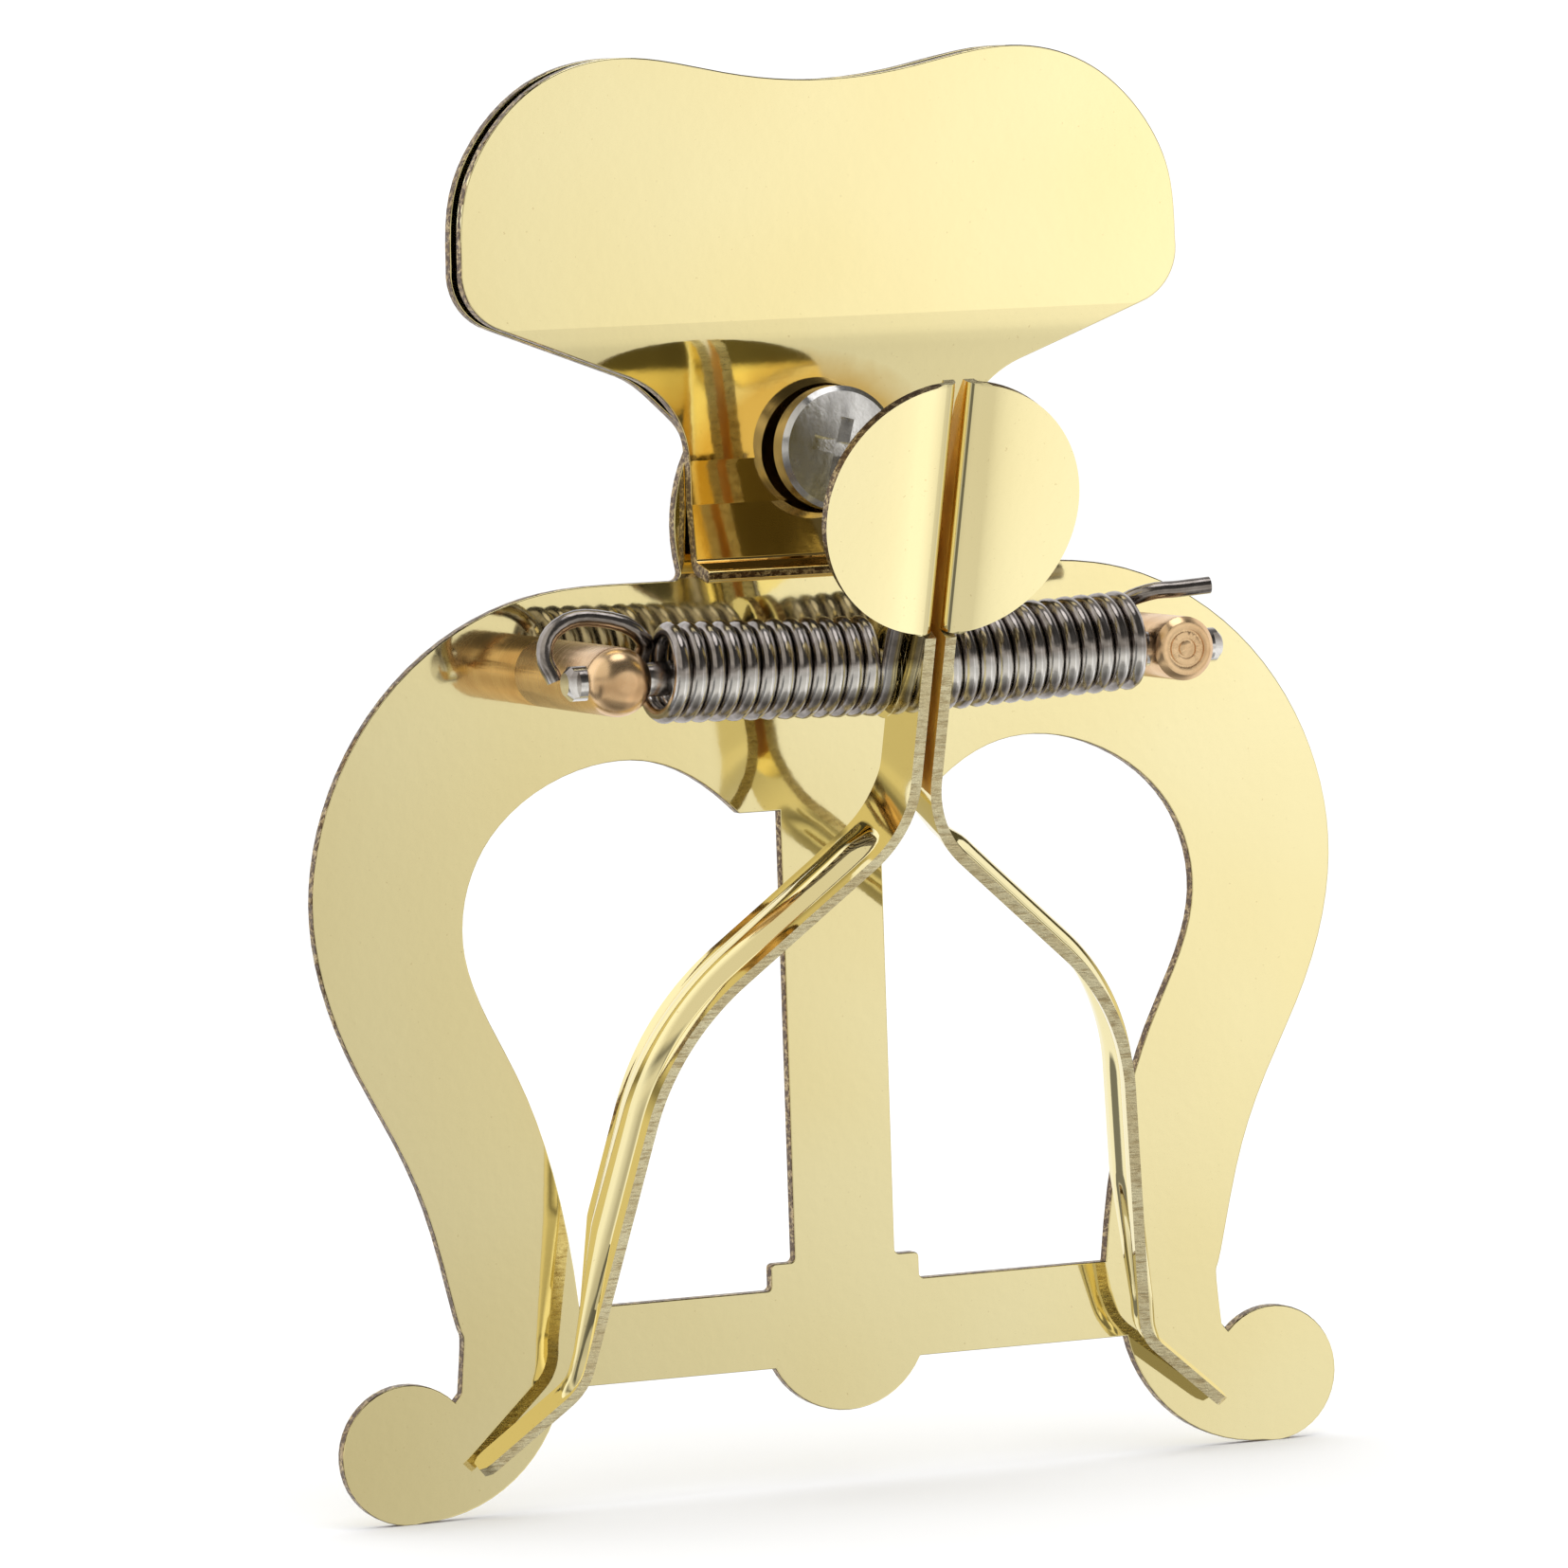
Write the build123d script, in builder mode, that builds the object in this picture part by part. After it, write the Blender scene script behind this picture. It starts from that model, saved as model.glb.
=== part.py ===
from build123d import *
import os
from math import cos, sin, pi, radians

os.makedirs("parts", exist_ok=True)

# Clamp-on music lyre, millimetres.  X runs across the lyre, +Z is up towards the clamp and the
# music side faces -Y.  The origin is the middle of the grip, on the gripping face of the back
# jaw; heights below are given above the foot of the centre bar and shifted by up().
GRIP = 104.0
SHEET = 1.2            # lyre plate and front jaw
JAW_GAP = 1.5          # closed gap between the two jaws
RUN = 0.05             # radial clearance of everything that turns


def up(z):
    return z - GRIP


# lyre plate
SHOULDER, NECK = 74.05, 13.3
BAR_HALF, BAR_TOP = 4.8, 53.4
CROSS_LOW, CROSS_TOP = 4.25, 11.15
# clamp
JAW_HALF = 33.9
JAW_MID = JAW_GAP + SHEET / 2   # middle of the front jaw's sheet
JAW_TILT = 7.5                  # how far the neck of the front jaw leans back, degrees
SCREW_Z, HEAD_R, HEAD_H, SHANK_R = 85.1, 5.45, 2.3, 2.0
NUT_R, NUT_H, SPIGOT_R = 4.2, 3.0, 3.0   # the spigot sits in the back jaw
SCREW_LEN = 9.0
# posts, axle, springs
POST_X, POST_H = 26.3, 18.4
LEFT_POST_R, RIGHT_POST_R, TENON_R = 3.0, 2.8, 1.6
AXLE_Y, AXLE_Z, AXLE_R, AXLE_HALF = -15.4, 66.75, 1.5, 30.8
WIRE, COIL_R, PITCH, TURNS = 1.5, 3.6, 1.6, 12
COIL_START = 22.45       # outer end of the coils, from the middle
# fingers
STRIP, STRIP_X, TILT = 1.0, 0.95, 17.6
FRONT, BACK = 8.4, 1.9   # how far the front and rear edges stand in front of the axle
EYE_R = 4.6
TAB_R, TAB_MID = 11.25, 17.0
BEND_R = 1.5             # outside radius of the bend between web and tab
BEAD = 0.75
LEG_STEPS = 26
LEG_BENDS = ((10, 48.4, 14.8), (22.8, -38.6, 22.8), (5, 39.8, 9.6))  # radius, turn, straight after

PLATE = Plane(origin=(0, 0, up(0)), x_dir=(1, 0, 0), z_dir=(0, -1, 0))


def right_kidney(z_neck, x_neck):
    """Right half of a jaw outline, from the top middle round to the neck."""
    Spline((0, 117.2), (9, 118.1), (18.7, 119.6), (27, 117.1), (33, 109.5), (JAW_HALF, 102),
           tangents=((1, 0), (0, -1)))
    ThreePointArc((JAW_HALF, 102), (33.2, 98.8), (30.5, 96.6))
    Line((30.5, 96.6), (18.5, 92.0))
    Spline((18.5, 92.0), (14.4, 88.8), (x_neck, z_neck), tangents=((-2.4, -1), (0, -1)))


# --- lyre plate: frame, windows, scroll feet, neck and back jaw cut from one sheet ---------------
with BuildPart() as lyre_plate:
    with BuildSketch(PLATE) as plate_outline:
        with BuildLine():
            right_kidney(85.2, 12.4)
            ThreePointArc((12.4, 85.2), (13.9, 79.6), (NECK, SHOULDER))
            Line((NECK, SHOULDER), (20, SHOULDER))
            Spline((20, SHOULDER), (29.1, 73.0), (35.8, 70.0), (41.7, 65.0), (47.4, 55.0),
                   (48.65, 46.0), (45.9, 35.0), (38.95, 20.0), (36.4, 10.0), (36.6, 4.6),
                   tangents=((1, 0), (0.1, -1)))
            Line((36.6, 4.6), (37.2, 3.9))
            ThreePointArc((37.2, 3.9), (47.4, 1.8), (40.4, -6.3))
            ThreePointArc((40.4, -6.3), (31.6, -3.1), (27.2, CROSS_LOW))
            Line((27.2, CROSS_LOW), (6.96, CROSS_LOW))
            ThreePointArc((6.96, CROSS_LOW), (5.4, 2.16), (0, 0))
            Line((0, 0), (0, 117.2))
        make_face()
        mirror(about=Plane.YZ)
    extrude(amount=-SHEET)
    with BuildSketch(PLATE):
        with BuildLine():
            Polyline((8.8, 53.5), (8.7, BAR_TOP), (BAR_HALF, BAR_TOP), (BAR_HALF, 13.5),
                     (7.1, 13.5), (7.1, CROSS_TOP), (25.3, CROSS_TOP))
            Spline((25.3, CROSS_TOP), (26.6, 20.0), (30.4, 32.0), (34.9, 43.5), (32.6, 52.0),
                   (20.4, 58.65), (8.8, 53.5), tangents=((0.1, 1), (-1, -1)))
        make_face()
        mirror(about=Plane.YZ)
    extrude(amount=-SHEET, mode=Mode.SUBTRACT)
    # softened inside corners at the neck and the bar steps
    corners = lyre_plate.edges().filter_by(Axis.Y)
    fillet(corners.filter_by(lambda e: abs(abs(e.center().X) - NECK) < 0.1
                             and abs(e.center().Z - up(SHOULDER)) < 0.1), 0.7)
    corners = lyre_plate.edges().filter_by(Axis.Y)
    fillet(corners.filter_by(lambda e: 4 < abs(e.center().X) < 7.3
                             and up(10) < e.center().Z < up(14)), 0.45)
    # tapped seat for the nut and holes for the post tenons
    with BuildSketch(PLATE):
        with Locations((0, SCREW_Z)):
            Circle(SPIGOT_R)
        with Locations((-POST_X, AXLE_Z), (POST_X, AXLE_Z)):
            Circle(TENON_R)
    extrude(amount=-SHEET, mode=Mode.SUBTRACT)
lyre_plate.part.label = "lyre_plate"
export_step(lyre_plate.part, "parts/lyre_plate.step")

# --- front jaw: kidney plate whose neck drops back to a heel and kicks out into a lip -----------
with BuildPart() as front_jaw:
    with BuildSketch(Plane(origin=(0, 6, up(0)), x_dir=(1, 0, 0), z_dir=(0, -1, 0))):
        with BuildLine():
            right_kidney(83.5, 12.8)
            Line((12.8, 83.5), (12.8, 70))
            Line((12.8, 70), (0, 70))
            Line((0, 70), (0, 117.2))
        make_face()
        mirror(about=Plane.YZ)
    extrude(amount=14)
    with BuildSketch(Plane.YZ) as side_profile:
        with BuildLine():
            flat = Line((-JAW_MID, up(125)), (-JAW_MID, up(96.5)))
            dish = JernArc(flat @ 1, flat % 1, 24, JAW_TILT)
            FilletPolyline(dish @ 1, (-0.73, up(84.5)), (-0.75, up(80.6)), (-1.5, up(75.2)),
                           (-4.3, up(74.55)), radius=1.0)
            offset(amount=SHEET / 2, side=Side.BOTH)
        make_face()
    extrude(amount=40, both=True, mode=Mode.INTERSECT)
    with Locations(Plane(origin=(0, 3, up(SCREW_Z)), z_dir=(0, -1, 0))):
        Cylinder(SHANK_R + RUN, 12, mode=Mode.SUBTRACT)
front_jaw.part.label = "front_jaw"
export_step(front_jaw.part, "parts/front_jaw.step")

# --- clamp screw: round flat head with a cross recess ------------------------------------------
SEAT_Y = -JAW_GAP - SHEET - 0.05
with BuildPart() as clamp_screw:
    with BuildSketch(Plane(origin=(0, SEAT_Y, up(SCREW_Z)), x_dir=(1, 0, 0), z_dir=(0, -1, 0))):
        Circle(HEAD_R)
    extrude(amount=HEAD_H)
    rim = clamp_screw.edges().group_by(Axis.Y)[0]
    chamfer(rim, 0.45)
    with BuildSketch(Plane(origin=(0, SEAT_Y - HEAD_H, up(SCREW_Z)), x_dir=(1, 0, 0), z_dir=(0, 1, 0))):
        with Locations(Rotation(0, 0, 15)):
            Rectangle(5.4, 1.25)
            Rectangle(1.25, 5.4)
    extrude(amount=1.4, mode=Mode.SUBTRACT)
    with BuildSketch(Plane(origin=(0, SEAT_Y, up(SCREW_Z)), x_dir=(1, 0, 0), z_dir=(0, 1, 0))):
        Circle(SHANK_R)
    extrude(amount=SCREW_LEN)
    chamfer(clamp_screw.edges().group_by(Axis.Y)[-1], 0.5)
clamp_screw.part.label = "clamp_screw"
export_step(clamp_screw.part, "parts/clamp_screw.step")

# --- clamp nut: flanged round bush fixed in the back jaw ---------------------------------------
with BuildPart() as clamp_nut:
    with BuildSketch(Plane(origin=(0, 0.1, up(SCREW_Z)), x_dir=(1, 0, 0), z_dir=(0, 1, 0))):
        Circle(SPIGOT_R)
    extrude(amount=SHEET - 0.1)
    with BuildSketch(Plane(origin=(0, SHEET, up(SCREW_Z)), x_dir=(1, 0, 0), z_dir=(0, 1, 0))):
        Circle(NUT_R)
    extrude(amount=NUT_H)
    chamfer(clamp_nut.edges().group_by(Axis.Y)[-1], 0.5)
    with Locations(Plane(origin=(0, 3, up(SCREW_Z)), z_dir=(0, 1, 0))):
        Cylinder(SHANK_R + RUN, 12, mode=Mode.SUBTRACT)
clamp_nut.part.label = "clamp_nut"
export_step(clamp_nut.part, "parts/clamp_nut.step")


# --- the two turned posts: riveted in the plate, drilled across for the axle --------------------
def post(x, radius, domed):
    face = Plane(origin=(x, 0, up(AXLE_Z)), x_dir=(1, 0, 0), z_dir=(0, -1, 0))
    with BuildPart() as one:
        with BuildSketch(face):
            Circle(radius)
        extrude(amount=POST_H)
        end = one.edges().group_by(Axis.Y)[0]
        if domed:
            fillet(end, radius * 0.75)
        else:
            chamfer(end, 0.5)
            with BuildSketch(face.offset(POST_H)):
                for r in (1.7, 0.9):
                    Circle(r)
                    Circle(r - 0.25, mode=Mode.SUBTRACT)
            extrude(amount=-0.15, mode=Mode.SUBTRACT)
        with BuildSketch(face):
            Circle(TENON_R)
        extrude(amount=-SHEET)
        with Locations(Plane(origin=(x, AXLE_Y, up(AXLE_Z)), z_dir=(1, 0, 0))):
            Cylinder(AXLE_R, 3 * radius, mode=Mode.SUBTRACT)
    return one.part


with BuildPart() as left_post:
    add(post(-POST_X, LEFT_POST_R, domed=True))
left_post.part.label = "left_post"
export_step(left_post.part, "parts/left_post.step")

with BuildPart() as right_post:
    add(post(POST_X, RIGHT_POST_R, domed=False))
right_post.part.label = "right_post"
export_step(right_post.part, "parts/right_post.step")

# --- pivot axle: plain steel rod with nipped ends ----------------------------------------------
with BuildPart() as pivot_axle:
    with Locations(Plane(origin=(0, AXLE_Y, up(AXLE_Z)), z_dir=(1, 0, 0))):
        Cylinder(AXLE_R, 2 * AXLE_HALF)
    chamfer(pivot_axle.edges().filter_by(GeomType.CIRCLE), 0.5)
    for side in (-1, 1):
        with Locations((side * (AXLE_HALF - 0.4), AXLE_Y - 1.6, up(AXLE_Z)),
                       (side * (AXLE_HALF - 0.4), AXLE_Y + 1.6, up(AXLE_Z))):
            Box(1.1, 1.2, 4, mode=Mode.SUBTRACT)
pivot_axle.part.label = "pivot_axle"
export_step(pivot_axle.part, "parts/pivot_axle.step")


# --- torsion springs: close coils round the axle, one leg on the post, one behind the tab -------
def spring_points(side, tilt, outer_leg):
    """Wire centre line of one spring, from the outer leg through the coils to the inner leg."""
    start, end = radians(130), radians(331 + 360 * TURNS)
    count = 10 * TURNS + 5
    coil = []
    for i in range(count + 1):
        a = start + (end - start) * i / count
        x = COIL_START - PITCH * (a - start) / (2 * pi)
        lift = tilt * (x - 2.4) / 20
        coil.append((side * x, AXLE_Y - COIL_R * cos(a), up(AXLE_Z) + lift + COIL_R * sin(a)))
    x, y, z = coil[-1]
    inner = [(x + side * 0.15, y + run * sin(end), z + run * cos(end)) for run in (3, 8, 14)]
    return outer_leg + coil + inner


def spring(points):
    with BuildPart() as one:
        with BuildLine():
            wire = Spline(*points)
        with BuildSketch(Plane(origin=wire @ 0, z_dir=wire % 0)):
            Circle(WIRE / 2)
        sweep(path=wire, is_frenet=True)
    return one.part


with BuildPart() as left_spring:
    add(spring(spring_points(-1, 0.5, [(-30.5, -12.6, up(66.8)), (-31.2, -12.0, up(69.2)),
                                       (-29.9, -11.9, up(71.4)), (-26.4, -12.2, up(72.0))])))
left_spring.part.label = "left_spring"
export_step(left_spring.part, "parts/left_spring.step")

with BuildPart() as right_spring:
    add(spring(spring_points(1, 0.9, [(30.0, -15.6, up(72.0)), (27.2, -15.3, up(71.8)),
                                      (24.4, -14.8, up(71.6))])))
right_spring.part.label = "right_spring"
export_step(right_spring.part, "parts/right_spring.step")

# --- fingers: strip on edge with an axle eye, a round thumb tab and a beaded curved leg ---------
AXLE = Vector(0, AXLE_Y, up(AXLE_Z))
FWD = Vector(0, -cos(radians(TILT)), -sin(radians(TILT)))
UPW = Vector(0, -sin(radians(TILT)), cos(radians(TILT)))
OWN = Plane(origin=AXLE, x_dir=(1, 0, 0), z_dir=FWD)


def ramp(a, b, s):
    return min(max((s - a) / (b - a), 0), 1)


def finger(side):
    """The finger of one side: side is 1 on the right and -1 on the left."""
    with BuildPart() as one:
        # web with the axle eye
        inner = STRIP_X - STRIP / 2 if side > 0 else -STRIP_X - STRIP / 2
        with BuildSketch(Plane(origin=AXLE + Vector(inner, 0, 0), x_dir=UPW, z_dir=(1, 0, 0))):
            with BuildLine():
                Polyline((-7, BACK), (-7, FRONT), (TAB_MID - TAB_R, FRONT),
                         (TAB_MID - TAB_R + 0.3, FRONT - BEND_R), (TAB_MID + TAB_R - 1.2, FRONT - BEND_R),
                         (TAB_MID + TAB_R - 2.4, FRONT - 2.8), (TAB_MID - 6, 2.6), (5.2, BACK), (-7, BACK))
            make_face()
            Circle(EYE_R)
            Circle(AXLE_R + RUN, mode=Mode.SUBTRACT)
        extrude(amount=STRIP)
        # thumb tab, bent outwards from the front edge round a small radius
        with BuildPart(mode=Mode.PRIVATE) as tab:
            with BuildSketch(Plane(origin=AXLE + UPW * (TAB_MID - TAB_R), x_dir=FWD, z_dir=UPW)):
                with BuildLine():
                    inside, outside = side * (STRIP_X - STRIP / 2), side * (STRIP_X + STRIP / 2)
                    far, nose = side * (TAB_R + 2), inside + side * BEND_R
                    Line((FRONT - BEND_R - 0.3, inside), (FRONT - BEND_R, inside))
                    RadiusArc((FRONT - BEND_R, inside), (FRONT, nose), side * -BEND_R)
                    Line((FRONT, nose), (FRONT, far))
                    Line((FRONT, far), (FRONT - STRIP, far))
                    Line((FRONT - STRIP, far), (FRONT - STRIP, nose))
                    RadiusArc((FRONT - STRIP, nose), (FRONT - BEND_R, outside), side * (BEND_R - STRIP))
                    Line((FRONT - BEND_R, outside), (FRONT - BEND_R - 0.3, outside))
                    Line((FRONT - BEND_R - 0.3, outside), (FRONT - BEND_R - 0.3, inside))
                make_face()
            extrude(amount=2 * TAB_R)
            with BuildSketch(OWN.offset(FRONT - BEND_R - 1)):
                with Locations((inside, TAB_MID)):
                    Circle(TAB_R)
            extrude(amount=BEND_R + 2, mode=Mode.INTERSECT)
        add(tab.part)
        # curved leg with the pressed bead, depth falling off towards the tip
        with BuildLine(OWN, mode=Mode.PRIVATE) as leg_line:
            Line((side * STRIP_X, -7), (side * STRIP_X, -7.7))
            for bend, turn, run in LEG_BENDS:
                bent = JernArc(leg_line.line @ 1, leg_line.line % 1, bend, side * turn)
                Line(bent @ 1, (bent @ 1) + (bent % 1) * run)
        leg = leg_line.wires()[0]
        for i in range(LEG_STEPS + 1):
            here = i / LEG_STEPS
            s = here * leg.length
            depth = FRONT - BACK - 0.5 * ramp(4, 12, s) - 3.8 * ramp(50, 61, s)
            bead = side * (0.02 + BEAD * ramp(7, 10.5, s) * (1 - ramp(61.5, 65.5, s)))
            at = Plane(origin=(leg @ here) + FWD * FRONT, x_dir=FWD, z_dir=leg % here)
            with BuildSketch(at.rotated((0, 0, -5 * side * ramp(2, 10, s)))):
                with BuildLine():
                    t, a, b = STRIP / 2, -0.22 * depth, -0.82 * depth
                    Line((0, -t), (a, -t))
                    ThreePointArc((a, -t), ((a + b) / 2, -t - bead), (b, -t))
                    Line((b, -t), (-depth, -t))
                    Line((-depth, -t), (-depth, t))
                    Line((-depth, t), (b, t))
                    ThreePointArc((b, t), ((a + b) / 2, t - bead), (a, t))
                    Line((a, t), (0, t))
                    Line((0, t), (0, -t))
                make_face()
        loft()
    return one.part


with BuildPart() as right_finger:
    add(finger(1))
right_finger.part.label = "right_finger"
export_step(right_finger.part, "parts/right_finger.step")

with BuildPart() as left_finger:
    add(finger(-1))
left_finger.part.label = "left_finger"
export_step(left_finger.part, "parts/left_finger.step")
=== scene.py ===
import math

import bmesh
import bpy
from mathutils import Matrix, Vector


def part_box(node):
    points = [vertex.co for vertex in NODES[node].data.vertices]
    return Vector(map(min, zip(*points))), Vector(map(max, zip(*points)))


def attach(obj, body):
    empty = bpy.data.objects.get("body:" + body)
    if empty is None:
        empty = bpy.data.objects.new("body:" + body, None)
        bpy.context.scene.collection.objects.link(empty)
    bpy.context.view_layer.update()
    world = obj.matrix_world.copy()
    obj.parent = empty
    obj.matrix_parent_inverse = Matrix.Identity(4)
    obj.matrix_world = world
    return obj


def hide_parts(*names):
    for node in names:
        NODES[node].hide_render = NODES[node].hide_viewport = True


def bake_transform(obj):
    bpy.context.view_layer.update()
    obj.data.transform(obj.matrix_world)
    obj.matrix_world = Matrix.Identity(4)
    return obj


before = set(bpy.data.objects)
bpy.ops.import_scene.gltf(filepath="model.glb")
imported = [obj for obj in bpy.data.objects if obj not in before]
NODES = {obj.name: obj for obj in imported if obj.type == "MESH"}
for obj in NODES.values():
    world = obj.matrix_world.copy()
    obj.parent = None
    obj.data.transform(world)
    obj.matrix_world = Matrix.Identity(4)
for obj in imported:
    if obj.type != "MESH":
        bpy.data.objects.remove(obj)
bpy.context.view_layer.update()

# Metres, in the row frame: +Z up towards the clamp, -Y towards the music side, origin at the grip.
MM = 0.001
AXLE_LOW, AXLE_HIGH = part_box("pivot_axle")
AXLE_Y = (AXLE_LOW.y + AXLE_HIGH.y) / 2
AXLE_Z = (AXLE_LOW.z + AXLE_HIGH.z) / 2
FLOOR_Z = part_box("lyre_plate")[0].z

# Edges: how far a corner is eased on sheet, on turned pieces and on the fingers.
EASE_SHEET, EASE_TURNED, EASE_FINGER = 0.13 * MM, 0.06 * MM, 0.12 * MM

# Springs: wire thickness, coil radius to the middle of the wire, pitch, turns and outer end.
WIRE, COIL_R, PITCH, TURNS, COIL_START = 1.5 * MM, 3.6 * MM, 1.6 * MM, 12, 22.45 * MM
STEPS_PER_TURN = 12
# Where round the axle the wire joins the coils and leaves them, turns included.
COIL_FROM, COIL_TO = math.radians(130), math.radians(331 + 360 * TURNS)
# The coils rise outwards from their inner end by the tilt, over their length.
COIL_INNER, COIL_LONG, LEFT_TILT, RIGHT_TILT = 2.4 * MM, 20 * MM, 0.5 * MM, 0.9 * MM
# Their outer legs, in mm: x and y in the row frame, and height above the axle.
LEFT_HOOK = [(-30.5, -12.6, 0.05), (-31.2, -12.0, 2.45), (-29.9, -11.9, 4.65), (-26.4, -12.2, 5.25)]
RIGHT_LEG = [(30.0, -15.6, 5.25), (27.2, -15.3, 5.05), (24.4, -14.8, 4.85)]

# Fingers, in their own plane: it holds the axle and leans forward at the top. The strip stands
# on edge beside the lyre's middle, with its front edge ahead of the axle.
TILT = math.radians(17.6)
AXLE = Vector((0, AXLE_Y, AXLE_Z))
FWD = Vector((0, -math.cos(TILT), -math.sin(TILT)))
UPW = Vector((0, -math.sin(TILT), math.cos(TILT)))
STRIP, STRIP_X, FRONT, BEND_R = 1.0 * MM, 0.95 * MM, 8.4 * MM, 1.5 * MM
EYE_R, EYE_BORE, EYE_HALF = 4.6 * MM, 1.55 * MM, STRIP / 2 + 0.02 * MM
LEG_TOP, LEG_START, LEG_STEP = -7.0 * MM, 0.7 * MM, 0.6 * MM
LEG_BENDS = ((10, 48.4, 14.8), (22.8, -38.6, 22.8), (5, 39.8, 9.6))  # radius, turn, straight after
# The leg's depth, and how much narrower it gets below the axle and again at the foot.
LEG_DEPTH, TOP_LOSS, FOOT_LOSS = 6.5 * MM, 0.5 * MM, 3.8 * MM
LEG_FLARE, TIP_ROUND = math.radians(5), 0.5 * MM
# How far down the leg each of its changes begins and ends.
FLARE_RUN, TOP_RUN, FOOT_RUN = (2 * MM, 10 * MM), (4 * MM, 12 * MM), (50 * MM, 61 * MM)
BEAD_IN, BEAD_OUT = (7 * MM, 9.5 * MM), (62.5 * MM, 65.5 * MM)
# The bead pressed along the leg: its height, where it starts in the depth, and its share of it.
BEAD, BEAD_AT, BEAD_SHARE = 0.75 * MM, 0.22, 0.6
ACROSS = ([0, 0.08, 0.16, BEAD_AT] + [BEAD_AT + BEAD_SHARE * i / 14 for i in range(1, 15)]
          + [0.88, 0.94, 1])
# The thumb tab: its bend stops short of a right angle by the slope, which runs out over the sag.
TAB_R, TAB_MID = 11.25 * MM, 17.0 * MM
TAB_SLOPE, TAB_SAG = 0.10, 0.14 * MM
TAB_ANGLES = [math.radians(-85 + 170 * i / 56) for i in range(57)]
TAB_HEIGHTS = [TAB_MID + TAB_R * math.sin(a) for a in TAB_ANGLES]
# The web below the tab, from the leg up.
WEB_HEIGHTS = [-6.0 * MM, -3 * MM, 0, 2.5 * MM, 4.5 * MM, TAB_HEIGHTS[0] - 0.3 * MM]
# The web's rear edge, in mm: height above the axle, and distance in front of it.
WEB_REAR = [(-7.0, 1.9), (5.2, 1.9), (TAB_MID / MM - 6, 2.6),
            ((TAB_MID + TAB_R) / MM - 2.4, FRONT / MM - 2.8),
            ((TAB_MID + TAB_R) / MM, (FRONT - BEND_R) / MM - 0.15)]
# Material slots of a finger.
FACE, SCORED, SHEARED, INNER = range(4)
ROUND_STEPS = 96


def link(data, name):
    item = bpy.data.objects.new(name, data)
    bpy.context.scene.collection.objects.link(item)
    return item


# --- camera -----------------------------------------------------------------------------------
LENS, SENSOR = 213.47, 36
CAMERA_PLACE = (-0.32167, -0.74759, 0.01625)
CAMERA_TURN = (23.0, -4.543, -1.906)  # azimuth, elevation and roll, degrees


def make_camera():
    """A long lens to the left of the lyre, level with the clamp and looking slightly down."""
    azimuth, elevation, roll = (math.radians(a) for a in CAMERA_TURN)
    forward = Vector((math.sin(azimuth) * math.cos(elevation),
                      math.cos(azimuth) * math.cos(elevation), math.sin(elevation)))
    level = Vector((math.cos(azimuth), -math.sin(azimuth), 0))
    above = level.cross(forward)
    right = math.cos(roll) * level + math.sin(roll) * above
    top = math.cos(roll) * above - math.sin(roll) * level
    data = bpy.data.cameras.new("camera")
    data.sensor_width = SENSOR
    data.lens = LENS
    data.clip_start, data.clip_end = 0.01, 50
    camera = link(data, "camera")
    camera.matrix_world = Matrix.Translation(CAMERA_PLACE) @ Matrix(
        (right, top, -forward)).transposed().to_4x4()
    bpy.context.scene.camera = camera


# --- node helpers -----------------------------------------------------------------------------
def rgb(r, g, b):
    return (r, g, b, 1.0)


def grey(value):
    return rgb(value, value, value)


class Nodes:
    """Adds shader nodes and links in one call each."""

    def __init__(self, tree):
        self.tree = tree
        tree.nodes.clear()

    def fill(self, socket, value):
        if isinstance(value, bpy.types.NodeSocket):
            self.tree.links.new(value, socket)
        else:
            socket.default_value = value

    def add(self, kind, inputs=None, **settings):
        node = self.tree.nodes.new(kind)
        for key, value in settings.items():
            setattr(node, key, value)
        for key, value in (inputs or {}).items():
            self.fill(node.inputs[key], value)
        return node

    def math(self, operation, a, b=0.0):
        return self.add("ShaderNodeMath", {0: a, 1: b}, operation=operation).outputs[0]

    def noise(self, vector, scale, detail=3.0, rough=0.5):
        return self.add("ShaderNodeTexNoise", {"Vector": vector, "Scale": scale, "Detail": detail,
                                               "Roughness": rough}).outputs["Fac"]

    def remap(self, value, a, b, c=0.0, d=1.0):
        """The value's run from a to b, spread from c to d and held beyond both ends."""
        return self.add("ShaderNodeMapRange", {"Value": value, "From Min": a, "From Max": b,
                                               "To Min": c, "To Max": d}).outputs[0]

    def mix(self, factor, a, b, blend="MIX"):
        """Colour a where the factor is 0, colour b where it is 1."""
        node = self.add("ShaderNodeMix", data_type="RGBA", blend_type=blend)
        for slot, value in ((0, factor), (6, a), (7, b)):
            self.fill(node.inputs[slot], value)
        return node.outputs[2]

    def axes(self, vector):
        return self.add("ShaderNodeSeparateXYZ", {0: vector}).outputs

    def stretched(self, vector, scale):
        return self.add("ShaderNodeMapping", {"Vector": vector, "Scale": scale}).outputs[0]

    def bump(self, height, distance, strength=1.0, normal=None):
        inputs = {"Height": height, "Distance": distance, "Strength": strength}
        if normal is not None:
            inputs["Normal"] = normal
        return self.add("ShaderNodeBump", inputs).outputs[0]


def new_material(name):
    """An empty material, its nodes, and the place on the object that its patterns follow."""
    material = bpy.data.materials.new(name)
    material.use_nodes = True
    n = Nodes(material.node_tree)
    return material, n, n.add("ShaderNodeTexCoord").outputs["Object"]


def finish_metal(n, colour, roughness, normal, metallic=1.0):
    shader = n.add("ShaderNodeBsdfPrincipled", {
        "Base Color": colour, "Metallic": metallic, "Roughness": roughness, "Normal": normal})
    n.add("ShaderNodeOutputMaterial", {"Surface": shader.outputs[0]})


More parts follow.
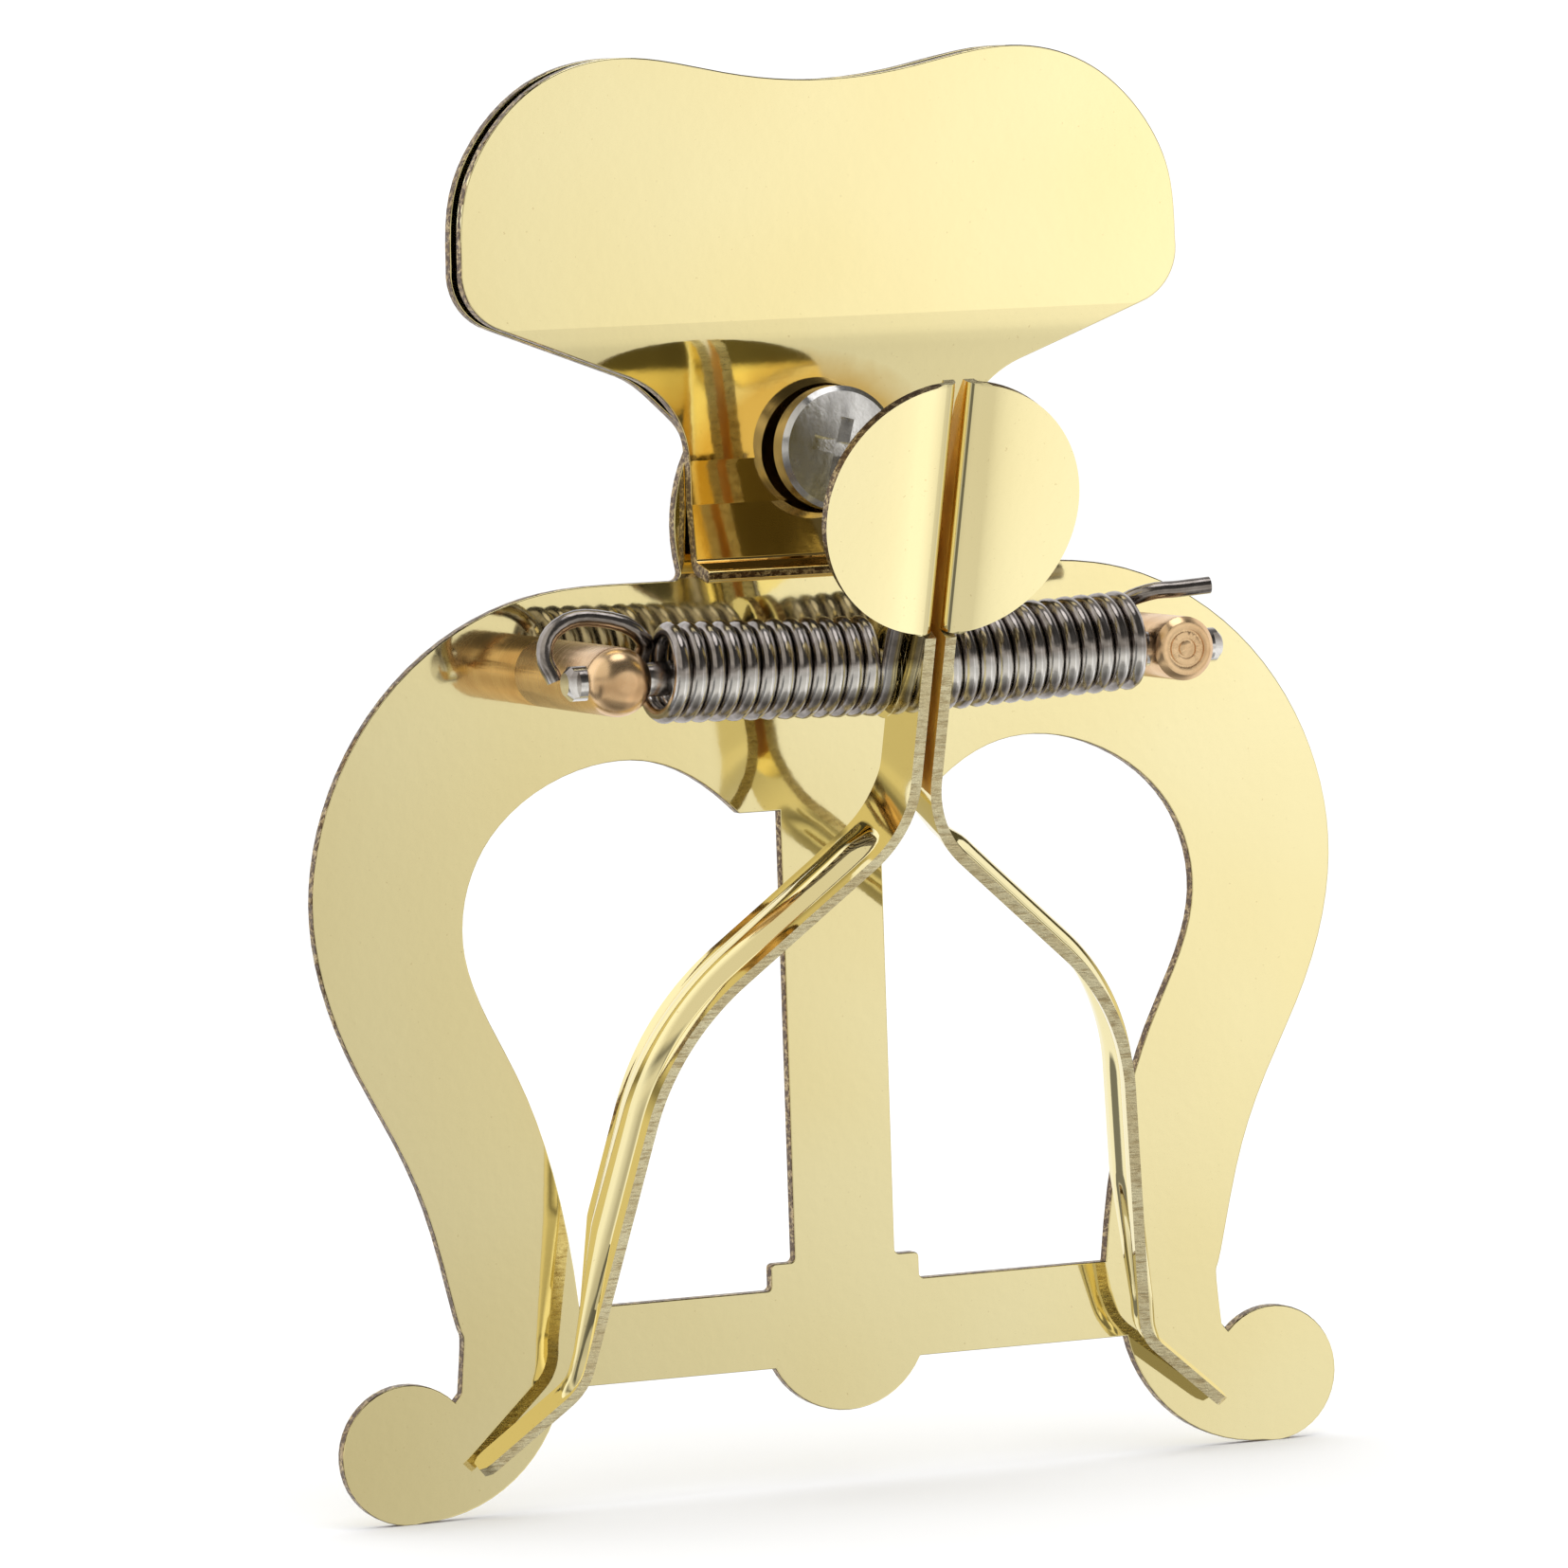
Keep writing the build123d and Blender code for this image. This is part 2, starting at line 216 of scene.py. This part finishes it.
# --- materials --------------------------------------------------------------------------------
GOLD, GOLD_DEEP = rgb(0.955, 0.855, 0.495), rgb(0.935, 0.81, 0.425)
# The first amber is painted shade for the front jaw's neck; SPECK is the colour of specks in the
# lacquer.
NECK_PAINTED_SHADE, SPECK = rgb(0.75, 0.51, 0.16), rgb(0.50, 0.34, 0.14)
# Painted shade for the gap between the fingers, in a lighter and a deeper amber.
GAP_SHADE_AMBER, GAP_SHADE_DEEP = rgb(0.82, 0.49, 0.07), rgb(0.56, 0.28, 0.03)
NICKEL_PALE, NICKEL_MARKED = rgb(0.74, 0.73, 0.72), rgb(0.40, 0.39, 0.385)
BRASS_PALE, BRASS_DEEP = rgb(0.95, 0.67, 0.39), rgb(0.76, 0.48, 0.25)
STEEL_OILED, STEEL_BROWN = rgb(0.27, 0.24, 0.22), rgb(0.42, 0.38, 0.36)
# Painted highlight colour for the band along the coils.
STEEL_PAINTED_HIGHLIGHT = rgb(0.84, 0.82, 0.80)
# Painted amber shade on the front jaw's neck, standing in for the dim reflections in the cavity
# behind the thumb tabs: how far its middle is left of and below the grip, full inside and gone
# outside.
NECK_LEFT, NECK_DOWN, NECK_FULL, NECK_GONE = 1.5 * MM, 24 * MM, 12 * MM, 15 * MM


def gold_sheet(name, painted_shade_neck=False):
    """Mirror-polished sheet under gold lacquer: slow colour drift, faint rolling marks, specks;
    with the neck option, painted amber shade round the front jaw's neck.
    """
    material, n, place = new_material(name)
    drift = n.noise(place, 28.0, 2.0)
    colour = n.mix(n.remap(drift, 0.35, 0.7), GOLD, GOLD_DEEP)
    # Painted shade: amber round the neck, fading out with distance from its middle.
    if painted_shade_neck:
        axes = n.axes(place)
        drop = n.math("POWER", n.math("ADD", axes["Z"], NECK_DOWN), 2.0)
        aside = n.math("POWER", n.math("ADD", axes["X"], NECK_LEFT), 2.0)
        reach = n.math("SQRT", n.math("ADD", aside, drop))
        neck_shade_reach = n.math("ADD", reach, n.math("MULTIPLY", n.noise(place, 420.0, 2.0), 2 * MM))
        colour = n.mix(n.remap(neck_shade_reach, NECK_FULL, NECK_GONE, 1.0, 0.0), colour, NECK_PAINTED_SHADE)
    specks = n.noise(place, 2600.0, 2.0)
    colour = n.mix(n.remap(specks, 0.70, 0.76, 0.0, 0.3), colour, SPECK)
    smudge = n.noise(n.stretched(place, (1.0, 1.0, 0.25)), 160.0, 4.0)
    roughness = n.remap(smudge, 0.3, 0.75, 0.03, 0.085)
    wave = n.bump(n.noise(place, 22.0, 1.0), 0.6 * MM, 0.10)
    peel = n.bump(n.noise(place, 900.0, 2.0), 0.02 * MM, 0.10, wave)
    finish_metal(n, colour, roughness, peel)
    return material


def sheared_edge(name, stretch, pale, tawny, groove, share):
    """Cut edge of a sheet, hatched by the shear: ridges from pale to tawny, grooves between,
    darkened as painted shade.

    The share, from 0 to 1, is how much of the edge is groove; the stretch lays the hatching.
    """
    material, n, place = new_material(name)
    hatch = n.noise(n.stretched(place, stretch), 1500.0, 4.0, 0.7)
    grain = n.noise(place, 5200.0, 3.0)
    blot = n.noise(place, 240.0, 3.0)
    ridge = n.mix(n.remap(blot, 0.4, 0.65), pale, tawny)
    # Painted shade: the grooves between the hatch ridges take the darker groove colour.
    colour = n.mix(n.remap(hatch, share, share + 0.14), groove, ridge)
    roughness = n.remap(grain, 0.3, 0.7, 0.22, 0.42)
    rough = n.bump(hatch, 0.10 * MM, 0.7)
    finish_metal(n, colour, roughness, n.bump(grain, 0.03 * MM, 0.4, rough))
    return material


def gap_painted_shade():
    """Inner face of a finger: painted amber shade where the two fingers lie side by side, standing
    in for the dim bounced light in the gap between them.
    """
    material, n, place = new_material("gold_gap_painted_shade")
    blot = n.noise(n.stretched(place, (1.0, 1.0, 0.4)), 500.0, 3.0)
    colour = n.mix(n.remap(blot, 0.35, 0.7), GAP_SHADE_AMBER, GAP_SHADE_DEEP)
    roughness = n.remap(blot, 0.3, 0.7, 0.25, 0.4)
    peel = n.bump(n.noise(place, 900.0, 2.0), 0.02 * MM, 0.2)
    finish_metal(n, colour, roughness, peel, metallic=0.45)
    return material


def nickel():
    """Plated screw and nut: grey handling marks and fine scratches."""
    material, n, place = new_material("nickel_plate")
    blot = n.noise(n.stretched(place, (1.0, 1.0, 0.5)), 420.0, 4.0)
    colour = n.mix(n.remap(blot, 0.35, 0.65), NICKEL_PALE, NICKEL_MARKED)
    roughness = n.remap(blot, 0.3, 0.7, 0.10, 0.28)
    finish_metal(n, colour, roughness, n.bump(n.noise(place, 1500.0, 3.0), 0.04 * MM, 0.35))
    return material


def turned_brass():
    """Posts turned from bar: coppery where the lacquer is thin, tool rings round the end face."""
    material, n, place = new_material("turned_brass")
    blot = n.noise(place, 330.0, 3.0)
    colour = n.mix(n.remap(blot, 0.35, 0.7), BRASS_PALE, BRASS_DEEP)
    rings = n.noise(n.stretched(place, (0.05, 1.0, 0.05)), 2600.0, 2.0)
    roughness = n.remap(rings, 0.3, 0.7, 0.22, 0.28)
    finish_metal(n, colour, roughness, n.bump(rings, 0.006 * MM, 0.2))
    return material


def spring_steel():
    """Drawn wire, oiled dark in patches, with a painted highlight: a bright band along the belly of
    the coils.
    """
    material, n, place = new_material("spring_steel")
    scuff_and_highlight_noise = n.noise(place, 700.0, 4.0)
    oiled = n.mix(n.remap(scuff_and_highlight_noise, 0.35, 0.65), STEEL_OILED, STEEL_BROWN)
    # Painted highlight: wire near a height a little below the axle is lightened to a pale band, its
    # edge broken by the noise.
    belly = n.math("ABSOLUTE", n.math("SUBTRACT", n.axes(place)["Z"], AXLE_Z - 0.9 * MM))
    highlight_reach = n.math("ADD", belly, n.math("MULTIPLY", scuff_and_highlight_noise, 1.0 * MM))
    colour = n.mix(n.remap(highlight_reach, 1.1 * MM, 2.0 * MM, 1.0, 0.0), oiled, STEEL_PAINTED_HIGHLIGHT)
    roughness = n.remap(n.noise(place, 1500.0, 3.0), 0.3, 0.7, 0.13, 0.24)
    finish_metal(n, colour, roughness, n.bump(n.noise(place, 3200.0, 2.0), 0.02 * MM, 0.35))
    return material


GOLD_SHEET = gold_sheet("gold_lacquer_sheet")
# The jaw's gold carries painted amber shade round its neck.
GOLD_JAW_PAINTED_SHADE = gold_sheet("gold_lacquer_jaw_painted_shade", painted_shade_neck=True)
# The dark cut edge's near-black grooves are painted shade.
DARK_EDGE = sheared_edge("gold_sheared_edge", (1.0, 1.0, 1.6), rgb(0.60, 0.46, 0.24),
                         rgb(0.34, 0.22, 0.10), rgb(0.10, 0.055, 0.025), 0.47)
PALE_EDGE = sheared_edge("gold_scored_edge", (0.4, 1.0, 2.6), rgb(0.90, 0.82, 0.54),
                         rgb(0.78, 0.67, 0.40), rgb(0.58, 0.47, 0.26), 0.38)
# Painted amber shade for the inner faces of the fingers.
GAP_SHADE_FINISH = gap_painted_shade()
NICKEL, BRASS, STEEL = nickel(), turned_brass(), spring_steel()

CAD_FINISHES = {
    "clamp_screw": NICKEL, "clamp_nut": NICKEL, "left_post": BRASS, "right_post": BRASS,
    "pivot_axle": STEEL, "left_spring": STEEL, "right_spring": STEEL, "lyre_plate": GOLD_SHEET,
    "front_jaw": GOLD_SHEET, "left_finger": GOLD_SHEET, "right_finger": GOLD_SHEET}


# --- pieces -----------------------------------------------------------------------------------
def finish_all_over(mesh, finish):
    """One finish on the whole mesh; clearing also puts every face back on the first slot."""
    mesh.materials.clear()
    mesh.materials.append(finish)


def built(shape, name, finishes):
    """The bmesh as a linked object, its faces on the slots they were given; uses the bmesh up."""
    mesh = bpy.data.meshes.new(name)
    shape.to_mesh(mesh)
    shape.free()
    for finish in finishes:
        mesh.materials.append(finish)
    return link(mesh, name)


def smooth(mesh, angle=35):
    """Smooth shading, but sharp where faces meet at more than the angle, in degrees."""
    mesh.shade_smooth()
    mesh.set_sharp_from_angle(angle=math.radians(angle))


def evaluated_mesh(item):
    """The item's modifiers or curve turned into a new plain mesh."""
    return bpy.data.meshes.new_from_object(
        item.evaluated_get(bpy.context.evaluated_depsgraph_get()))


def ease_corners(piece, width, angle=40):
    bevel = piece.modifiers.new("ease", "BEVEL")
    bevel.limit_method = "ANGLE"
    bevel.angle_limit = math.radians(angle)
    bevel.width = width
    bevel.segments = 2
    bevel.profile = 0.6
    bevel.harden_normals = True
    mesh = evaluated_mesh(piece)
    piece.modifiers.clear()
    piece.data = mesh


def eased(node, body, finishes, is_edge=None):
    """A CAD piece again with eased corners; cut faces of a sheet are given the second finish."""
    shape = bmesh.new()
    shape.from_mesh(NODES[node].data)
    bmesh.ops.remove_doubles(shape, verts=shape.verts, dist=0.002 * MM)
    if is_edge:
        bmesh.ops.dissolve_limit(shape, angle_limit=math.radians(0.5), verts=shape.verts,
                                 edges=shape.edges)
        for face in shape.faces:
            face.material_index = 1 if is_edge(face.normal, face.calc_center_median()) else 0
    piece = built(shape, node + "_eased", finishes)
    smooth(piece.data)
    ease_corners(piece, EASE_SHEET if is_edge else EASE_TURNED)
    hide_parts(node)
    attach(piece, body)


def plate_edge(normal, centre):
    return abs(normal.y) < 0.5


def jaw_edge(normal, centre):
    """The outline of the front jaw, and the end of its lip, which faces forward low down."""
    lip = centre.y < -4.2 * MM and normal.y < -0.9 and centre.z < -25 * MM
    return abs(normal.y) < 0.02 or lip


def side_word(side):
    return "right" if side > 0 else "left"


def spring_route(side, tilt, outer_leg):
    """Wire centre line: outer leg, close coils round the axle, inner leg up behind the tab."""
    steps = STEPS_PER_TURN * TURNS
    coil = []
    for i in range(steps + 1):
        turn = COIL_FROM + (COIL_TO - COIL_FROM) * i / steps
        x = COIL_START - PITCH * (turn - COIL_FROM) / (2 * math.pi)
        lift = tilt * (x - COIL_INNER) / COIL_LONG
        coil.append((side * x, AXLE_Y - COIL_R * math.cos(turn),
                     AXLE_Z + lift + COIL_R * math.sin(turn)))
    x, y, z = coil[-1]
    inner = [(x + side * 0.15 * MM, y + run * math.sin(COIL_TO), z + run * math.cos(COIL_TO))
             for run in (3 * MM, 8 * MM, 14 * MM)]
    outer = [(x * MM, y * MM, AXLE_Z + z * MM) for x, y, z in outer_leg]
    return outer + coil + inner


def wire_mesh(points, name):
    """A round wire through the points, as a closed mesh."""
    curve = bpy.data.curves.new(name + "_route", "CURVE")
    curve.dimensions = "3D"
    curve.bevel_depth = WIRE / 2
    curve.bevel_resolution = 5
    curve.resolution_u = 4
    curve.use_fill_caps = True
    spline = curve.splines.new("BEZIER")
    spline.bezier_points.add(len(points) - 1)
    for knot, point in zip(spline.bezier_points, points):
        knot.co = point
        knot.handle_left_type = knot.handle_right_type = "AUTO"
    route = link(curve, name + "_route")
    mesh = evaluated_mesh(route)
    bpy.data.objects.remove(route)
    return mesh


def make_spring(side, tilt, outer_leg):
    """A closely wound torsion spring, as one still mesh; on the lyre its inner leg turns with the
    finger, its outer leg stays.
    """
    name = side_word(side) + "_spring"
    mesh = wire_mesh(spring_route(side, tilt, outer_leg), name)
    finish_all_over(mesh, STEEL)
    smooth(mesh, 50)
    piece = link(mesh, name + "_wire")
    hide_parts(name)
    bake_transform(piece)


def ramp(a, b, s):
    """0 up to a, 1 from b on, straight between."""
    return min(max((s - a) / (b - a), 0.0), 1.0)


def own(x, w, f):
    """The point across, above and in front of the axle in a finger's own plane."""
    return AXLE + Vector((x, 0, 0)) + UPW * w + FWD * f


def leg_path(side):
    """(x, height, heading, distance) down the leg in the finger's own plane."""
    stretches = [(LEG_START, 0.0)]  # length and turn
    for radius, degrees, run in LEG_BENDS:
        turn = math.radians(degrees) * side
        stretches += [(radius * MM * abs(turn), turn), (run * MM, 0.0)]
    x, w, heading, s = side * STRIP_X, LEG_TOP, -math.pi / 2, 0.0
    path = [(x, w, heading, s)]
    for length, turn in stretches:
        steps = max(1, round(length / LEG_STEP))
        step = length / steps
        for _ in range(steps):
            heading += turn / steps / 2
            x, w, s = x + step * math.cos(heading), w + step * math.sin(heading), s + step
            heading += turn / steps / 2
            path.append((x, w, heading, s))
    return path


def leg_rows(side):
    """Rows of points across the leg, from its foot up to the web."""
    path = leg_path(side)
    length = path[-1][3]
    rows = []
    for x, w, heading, s in path:
        flare = LEG_FLARE * ramp(*FLARE_RUN, s)
        along = Vector((math.cos(heading), 0, 0)) + UPW * math.sin(heading)
        outward = along.cross(FWD) * side
        if outward.x * side < 0:
            outward = -outward
        back = -FWD * math.cos(flare) + outward * math.sin(flare)
        bulge = outward * math.cos(flare) + FWD * math.sin(flare)
        depth = LEG_DEPTH - TOP_LOSS * ramp(*TOP_RUN, s) - FOOT_LOSS * ramp(*FOOT_RUN, s)
        bead = BEAD * ramp(*BEAD_IN, s) ** 0.5 * (1 - ramp(*BEAD_OUT, s)) ** 0.5
        front = own(x, w, FRONT)
        rounding = TIP_ROUND * ramp(length - 1.0 * MM, length, s) ** 2
        row = []
        for t in ACROSS:
            hump = math.sin(math.pi * ramp(0, BEAD_SHARE, t - BEAD_AT)) * bead
            row.append(front + back * (rounding + t * (depth - 2 * rounding)) + bulge * hump)
        rows.append(row)
    return rows[::-1]


def rear_of_web(w):
    """How far in front of the axle the web's rear edge is, at a height above the axle."""
    for (w0, f0), (w1, f1) in zip(WEB_REAR, WEB_REAR[1:]):
        if w / MM <= w1:
            return (f0 + (f1 - f0) * (w / MM - w0) / (w1 - w0)) * MM
    return WEB_REAR[-1][1] * MM


def web_rows(side, heights, near):
    """Rows of points from the web's near edge to its rear one, at each height."""
    return [[own(side * STRIP_X, w, near + (rear_of_web(w) - near) * t) for t in ACROSS]
            for w in heights]


def tab_rows(side):
    """Rows out from the web: through most of a right angle, then softly out across the flat."""
    full = math.pi / 2 - TAB_SLOPE
    bend = (BEND_R - STRIP / 2 - TAB_SAG) / math.sin(full)
    centre = STRIP_X + bend
    near = FRONT - BEND_R
    rows = []
    for a, w in zip(TAB_ANGLES, TAB_HEIGHTS):
        reach = STRIP_X - STRIP / 2 + TAB_R * math.cos(a)
        quarter = min(full, math.acos(max(0.0, min(1.0, (centre - reach) / bend))))
        row = []
        for i in range(9):
            turn = quarter * i / 8
            row.append(own(side * (centre - bend * math.cos(turn)), w,
                           near + bend * math.sin(turn)))
        start = centre - bend * math.cos(quarter)
        last = max(reach, start)
        for i in range(1, 19):
            x = start + (last - start) * (i / 18) ** 2
            rise = TAB_SAG * (1 - math.exp((start - x) * TAB_SLOPE / TAB_SAG))
            row.append(own(side * x, w, near + bend * math.sin(quarter) + rise))
        rows.append(row)
    return rows


def add_rows(shape, rows):
    """A sheet of quads through rows of points."""
    made = [[shape.verts.new(point) for point in row] for row in rows]
    for low, high in zip(made, made[1:]):
        for i in range(len(low) - 1):
            shape.faces.new((low[i], low[i + 1], high[i + 1], high[i]))


def sort_finger_faces(mesh):
    """Painted amber shade on the inner faces; the tab's rim and the web's rear edge get the dark
    cut-edge finish.
    """
    for face in mesh.polygons:
        middle = face.center
        # Inner faces, where the fingers lie side by side, take the painted amber shade.
        if face.material_index == FACE and abs(middle.x) < STRIP_X - 0.45 * STRIP:
            face.material_index = INNER
        elif face.material_index == SCORED and middle.z > AXLE_Z + 4 * MM:
            if abs(middle.x) > 2.2 * MM or middle.y > AXLE_Y:
                face.material_index = SHEARED


def make_finger(side):
    """One bent and pressed sheet: beaded leg, web beside the axle, round thumb tab."""
    body = side_word(side) + "_finger"
    shape = bmesh.new()
    add_rows(shape, leg_rows(side) + web_rows(side, WEB_HEIGHTS, FRONT)
             + web_rows(side, TAB_HEIGHTS, FRONT - BEND_R))
    add_rows(shape, tab_rows(side))
    bmesh.ops.remove_doubles(shape, verts=shape.verts, dist=0.004 * MM)
    bmesh.ops.recalc_face_normals(shape, faces=shape.faces)
    piece = built(shape, body + "_sheet", (GOLD_SHEET, PALE_EDGE, DARK_EDGE, GAP_SHADE_FINISH))
    piece.data.shade_smooth()
    thick = piece.modifiers.new("thick", "SOLIDIFY")
    thick.thickness = STRIP
    thick.offset = 0
    thick.use_even_offset = False
    thick.material_offset_rim = SCORED
    ease_corners(piece, EASE_FINGER, 50)
    sort_finger_faces(piece.data)
    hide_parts(body)
    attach(piece, body)


def make_eye(side):
    """Round lug of the finger that turns on the axle."""
    body = side_word(side) + "_finger"
    brink, face_end = EYE_R - EASE_FINGER, EYE_HALF - EASE_FINGER
    section = [(EYE_BORE, -EYE_HALF), (brink, -EYE_HALF), (EYE_R, -face_end),
               (EYE_R, face_end), (brink, EYE_HALF), (EYE_BORE, EYE_HALF)]
    rim_and_bore = (2, 5)
    shape = bmesh.new()
    loops = []
    for i in range(ROUND_STEPS):
        turn = 2 * math.pi * i / ROUND_STEPS
        loops.append([shape.verts.new(AXLE + Vector((side * STRIP_X + x, r * math.cos(turn),
                                                     r * math.sin(turn)))) for r, x in section])
    for low, high in zip(loops, loops[1:] + loops[:1]):
        for i in range(len(section)):
            j = (i + 1) % len(section)
            face = shape.faces.new((low[i], low[j], high[j], high[i]))
            face.material_index = 1 if i in rim_and_bore else 0
    bmesh.ops.recalc_face_normals(shape, faces=shape.faces)
    piece = built(shape, body + "_eye", (GOLD_SHEET, DARK_EDGE))
    smooth(piece.data)
    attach(piece, body)


make_camera()
for node, finish in CAD_FINISHES.items():
    finish_all_over(NODES[node].data, finish)

eased("lyre_plate", "frame", (GOLD_SHEET, DARK_EDGE), plate_edge)
eased("front_jaw", "front_jaw", (GOLD_JAW_PAINTED_SHADE, DARK_EDGE), jaw_edge)
eased("left_post", "frame", (BRASS,))
eased("right_post", "frame", (BRASS,))
make_spring(-1, LEFT_TILT, LEFT_HOOK)
make_spring(1, RIGHT_TILT, RIGHT_LEG)
for side in (-1, 1):
    make_finger(side)
    make_eye(side)


# --- studio -----------------------------------------------------------------------------------
FLOOR_R, FLOOR_TONES = 5.0, (0.925, 0.935)
LIGHT_PLACE, LIGHT_AIM, LIGHT_SIZE, LIGHT_POWER = (0.1, -0.2, 0.9), (0, 0, -0.05), 0.6, 1.5
ROOM_LIGHT = 1.12
# What polished metal sees of the room: degrees above the horizon, and how light it is there.
FRONT_WALL = [(-75, 0.28), (-50, 0.45), (-40, 1.10), (-12, 0.76), (-9, 0.80), (-5.5, 0.93),
              (-1, 1.12), (2, 1.12), (6, 0.80), (12, 0.12), (60, 0.06), (80, 0.22)]
BACK_WALL = [(-70, 0.5), (-40, 0.95), (0, 1.0), (35, 1.0), (55, 0.35), (80, 0.25)]
WINDOW, PANEL, BESIDE_PANEL = rgb(1.1, 1.09, 1.06), rgb(1.09, 1.08, 1.05), rgb(0.67, 0.65, 0.60)
UNSHADED, FLAG = grey(1), grey(0.1)
# Where their soft borders lie, by how far a way through the room points right (X) or up (Z).
TURN_OF_WALLS, WINDOW_X, WINDOW_Z = (-0.15, 0.15), (-0.30, -0.42), (0.16, 0.30)
PANEL_LEFT, PANEL_RIGHT = (0.33, 0.44), (0.48, 0.62)
FLAG_LEFT, FLAG_HALF, FLAG_TOP = 0.80, (0.07, 0.11), (-0.25, -0.05)


def make_floor():
    shape = bmesh.new()
    bmesh.ops.create_circle(shape, cap_ends=True, segments=ROUND_STEPS, radius=FLOOR_R,
                            matrix=Matrix.Translation((0, 0, FLOOR_Z)))
    material, n, place = new_material("floor_paint")
    tone = n.mix(n.noise(place, 3.0), *(grey(tone) for tone in FLOOR_TONES))
    shader = n.add("ShaderNodeBsdfDiffuse", {"Color": tone})
    n.add("ShaderNodeOutputMaterial", {"Surface": shader.outputs[0]})
    floor = built(shape, "floor", [material])
    floor.visible_glossy = False


def wall(n, height, stops):
    """A grey that follows the height, 0 straight down to 1 straight up, through the stops."""
    node = n.add("ShaderNodeValToRGB", {0: height})
    node.color_ramp.interpolation = "EASE"
    elements = node.color_ramp.elements
    while len(elements) < len(stops):
        elements.new(0.5)
    for element, (degrees, light) in zip(elements, stops):
        element.position = 0.5 + degrees / 180
        element.color = grey(light)
    return node.outputs["Color"]


def make_world():
    """Pale studio. Polished metal sees lit walls and floor, a dark ceiling in front, side flags."""
    world = bpy.data.worlds.new("studio")
    bpy.context.scene.world = world
    world.use_nodes = True
    n = Nodes(world.node_tree)
    way = n.axes(n.add("ShaderNodeTexCoord").outputs["Generated"])
    rise = n.math("DIVIDE", n.math("ARCSINE", way["Z"]), math.pi / 2)
    height = n.remap(rise, -1.0, 1.0)
    facing = n.remap(way["Y"], *TURN_OF_WALLS)  # 0 in front of the lyre, 1 behind it
    walls = n.mix(facing, wall(n, height, FRONT_WALL), wall(n, height, BACK_WALL))
    window = n.math("MULTIPLY", n.remap(way["X"], *WINDOW_X), n.remap(way["Z"], *WINDOW_Z))
    light = n.mix(window, walls, WINDOW)
    panel = n.math("MINIMUM", n.remap(way["X"], *PANEL_LEFT),
                   n.remap(way["X"], *PANEL_RIGHT, 1.0, 0.15))
    shade = n.mix(facing, n.mix(panel, BESIDE_PANEL, PANEL), UNSHADED)
    aside = n.math("ABSOLUTE", n.math("ADD", way["X"], FLAG_LEFT))
    off_flag = n.math("MAXIMUM", n.remap(aside, *FLAG_HALF, 0.12, 1.0),
                      n.remap(way["Z"], *FLAG_TOP))
    shade = n.mix(off_flag, FLAG, shade)
    seen = n.mix(1.0, light, shade, blend="MULTIPLY")
    reflected = n.add("ShaderNodeBackground", {"Color": seen, "Strength": 1.0})
    plain = n.add("ShaderNodeBackground", {"Color": grey(1), "Strength": ROOM_LIGHT})
    glossy = n.add("ShaderNodeLightPath").outputs["Is Glossy Ray"]
    both = n.add("ShaderNodeMixShader", {0: glossy, 1: plain.outputs[0], 2: reflected.outputs[0]})
    n.add("ShaderNodeOutputWorld", {"Surface": both.outputs[0]})


def make_light():
    data = bpy.data.lights.new("top_light", "AREA")
    data.shape = "DISK"
    data.size = LIGHT_SIZE
    data.energy = LIGHT_POWER
    light = link(data, "top_light")
    light.location = LIGHT_PLACE
    light.rotation_mode = "QUATERNION"
    light.rotation_quaternion = (Vector(LIGHT_AIM) - Vector(LIGHT_PLACE)).to_track_quat("-Z", "Y")


make_floor()
make_world()
make_light()

bpy.context.scene.view_settings.view_transform = "Standard"
